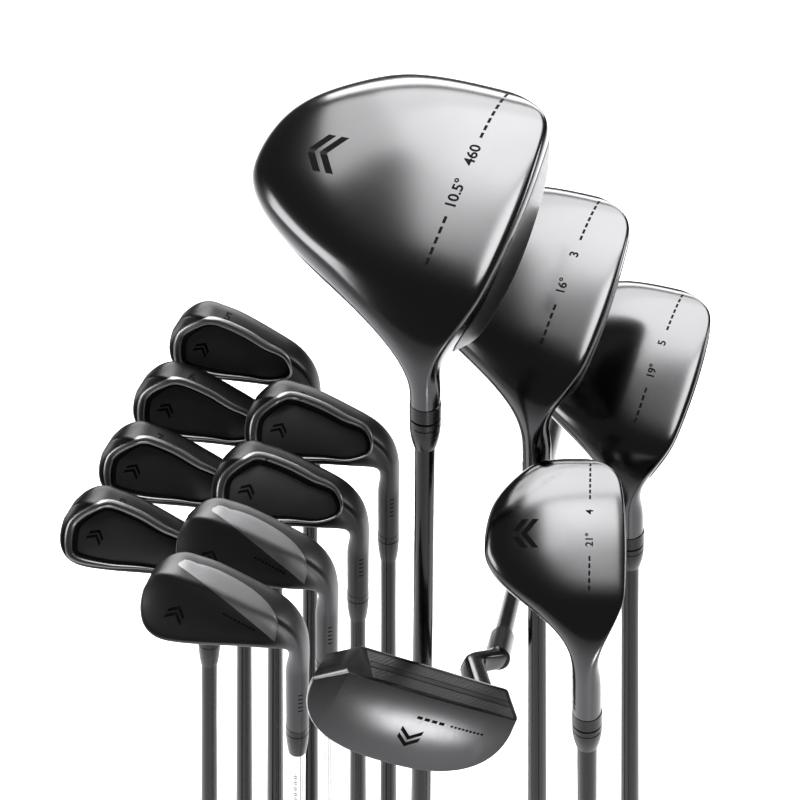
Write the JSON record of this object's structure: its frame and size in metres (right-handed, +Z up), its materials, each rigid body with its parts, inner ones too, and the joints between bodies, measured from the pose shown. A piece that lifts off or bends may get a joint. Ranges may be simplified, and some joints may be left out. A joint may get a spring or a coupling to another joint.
{
  "type": "golf club set",
  "caption": "Right-handed golf set: hollow woods and a hybrid, cavity-back irons, bladed wedges and a half-moon putter, each with ferrule, shaft and grip, stood heads-up for display.",
  "frame": {"origin": "middle of the base of the set's box, on the surface that the grips stand on", "axes": "+Z up along the driver's shaft, heads at the top; -Y towards the viewer, the side that the soles and cavities face; +X to the viewer's right"},
  "size_m": [0.3896, 0.8151, 1.2102],
  "materials": {
    "wood_head": "mirror-black coated metal, hand polished",
    "wood_crown": "gloss black crown",
    "wood_face": "satin black face with scored lines",
    "iron_head": "black coated steel, satin, polished rim round the cavity",
    "wedge_head": "black coated steel, brushed satin",
    "putter_head": "black coated steel, satin",
    "putter_insert": "finely milled bands either side of a smooth band",
    "ferrule": "gloss black plastic",
    "shaft": "gloss black lacquer",
    "wedge_shaft": "chrome plated stepped steel",
    "grip": "matt moulded rubber with a fine grid"
  },
  "bodies": {
    "driver_club": {"driver_body": "wood_head", "driver_crown": "wood_crown", "driver_face": "wood_face", "driver_ferrule": "ferrule", "driver_shaft": "shaft", "driver_grip": "grip"},
    "wood3_club": {"wood3_body": "wood_head", "wood3_crown": "wood_crown", "wood3_face": "wood_face", "wood3_ferrule": "ferrule", "wood3_shaft": "shaft", "wood3_grip": "grip"},
    "wood5_club": {"wood5_body": "wood_head", "wood5_crown": "wood_crown", "wood5_face": "wood_face", "wood5_ferrule": "ferrule", "wood5_shaft": "shaft", "wood5_grip": "grip"},
    "hybrid_club": {"hybrid_body": "wood_head", "hybrid_crown": "wood_crown", "hybrid_face": "wood_face", "hybrid_ferrule": "ferrule", "hybrid_shaft": "shaft", "hybrid_grip": "grip"},
    "iron5_club": {"iron5_head": "iron_head", "iron5_ferrule": "ferrule", "iron5_shaft": "shaft", "iron5_grip": "grip"},
    "iron6_club": {"iron6_head": "iron_head", "iron6_ferrule": "ferrule", "iron6_shaft": "shaft", "iron6_grip": "grip"},
    "iron7_club": {"iron7_head": "iron_head", "iron7_ferrule": "ferrule", "iron7_shaft": "shaft", "iron7_grip": "grip"},
    "iron8_club": {"iron8_head": "iron_head", "iron8_ferrule": "ferrule", "iron8_shaft": "shaft", "iron8_grip": "grip"},
    "iron9_club": {"iron9_head": "iron_head", "iron9_ferrule": "ferrule", "iron9_shaft": "shaft", "iron9_grip": "grip"},
    "pitching_club": {"pitching_head": "iron_head", "pitching_ferrule": "ferrule", "pitching_shaft": "shaft", "pitching_grip": "grip"},
    "wedge52_club": {"wedge52_head": "wedge_head", "wedge52_ferrule": "ferrule", "wedge52_shaft": "wedge_shaft", "wedge52_grip": "grip"},
    "wedge56_club": {"wedge56_head": "wedge_head", "wedge56_ferrule": "ferrule", "wedge56_shaft": "wedge_shaft", "wedge56_grip": "grip"},
    "putter_club": {"putter_head": "putter_head", "putter_insert": "putter_insert", "putter_shaft": "shaft", "putter_grip": "grip"}
  },
  "joints": [
    {"name": "wood3_draw", "type": "slide", "parent": "driver_club", "child": "wood3_club", "axis": [-0.0469, 0, 0.9989], "range_m": [0, 0.012]},
    {"name": "wood5_draw", "type": "slide", "parent": "driver_club", "child": "wood5_club", "axis": [-0.0778, 0, 0.997], "range_m": [0, 0.015]},
    {"name": "hybrid_draw", "type": "slide", "parent": "driver_club", "child": "hybrid_club", "axis": [-0.0639, 0, 0.998], "range_m": [0, 0.06]},
    {"name": "iron5_draw", "type": "slide", "parent": "driver_club", "child": "iron5_club", "axis": [0.031, 0, 0.9995], "range_m": [0, 0.1]},
    {"name": "iron6_draw", "type": "slide", "parent": "driver_club", "child": "iron6_club", "axis": [0.043, 0, 0.9991], "range_m": [0, 0.012]},
    {"name": "iron7_draw", "type": "slide", "parent": "driver_club", "child": "iron7_club", "axis": [0.0529, 0, 0.9986], "range_m": [0, 0.02]},
    {"name": "iron8_draw", "type": "slide", "parent": "driver_club", "child": "iron8_club", "axis": [0.0649, 0, 0.9979], "range_m": [0, 0.03]},
    {"name": "iron9_draw", "type": "slide", "parent": "driver_club", "child": "iron9_club", "axis": [0.004, 0, 1], "range_m": [0, 0.08]},
    {"name": "pitching_draw", "type": "slide", "parent": "driver_club", "child": "pitching_club", "axis": [0.014, 0, 0.9999], "range_m": [0, 0.08]},
    {"name": "wedge52_draw", "type": "slide", "parent": "driver_club", "child": "wedge52_club", "axis": [0.025, 0, 0.9997], "range_m": [0, 0.06]},
    {"name": "wedge56_draw", "type": "slide", "parent": "driver_club", "child": "wedge56_club", "axis": [0.035, 0, 0.9994], "range_m": [0, 0.1]},
    {"name": "putter_draw", "type": "slide", "parent": "driver_club", "child": "putter_club", "axis": [-0.16, -0.9252, 0.3441], "range_m": [0, 0.1]}
  ]
}
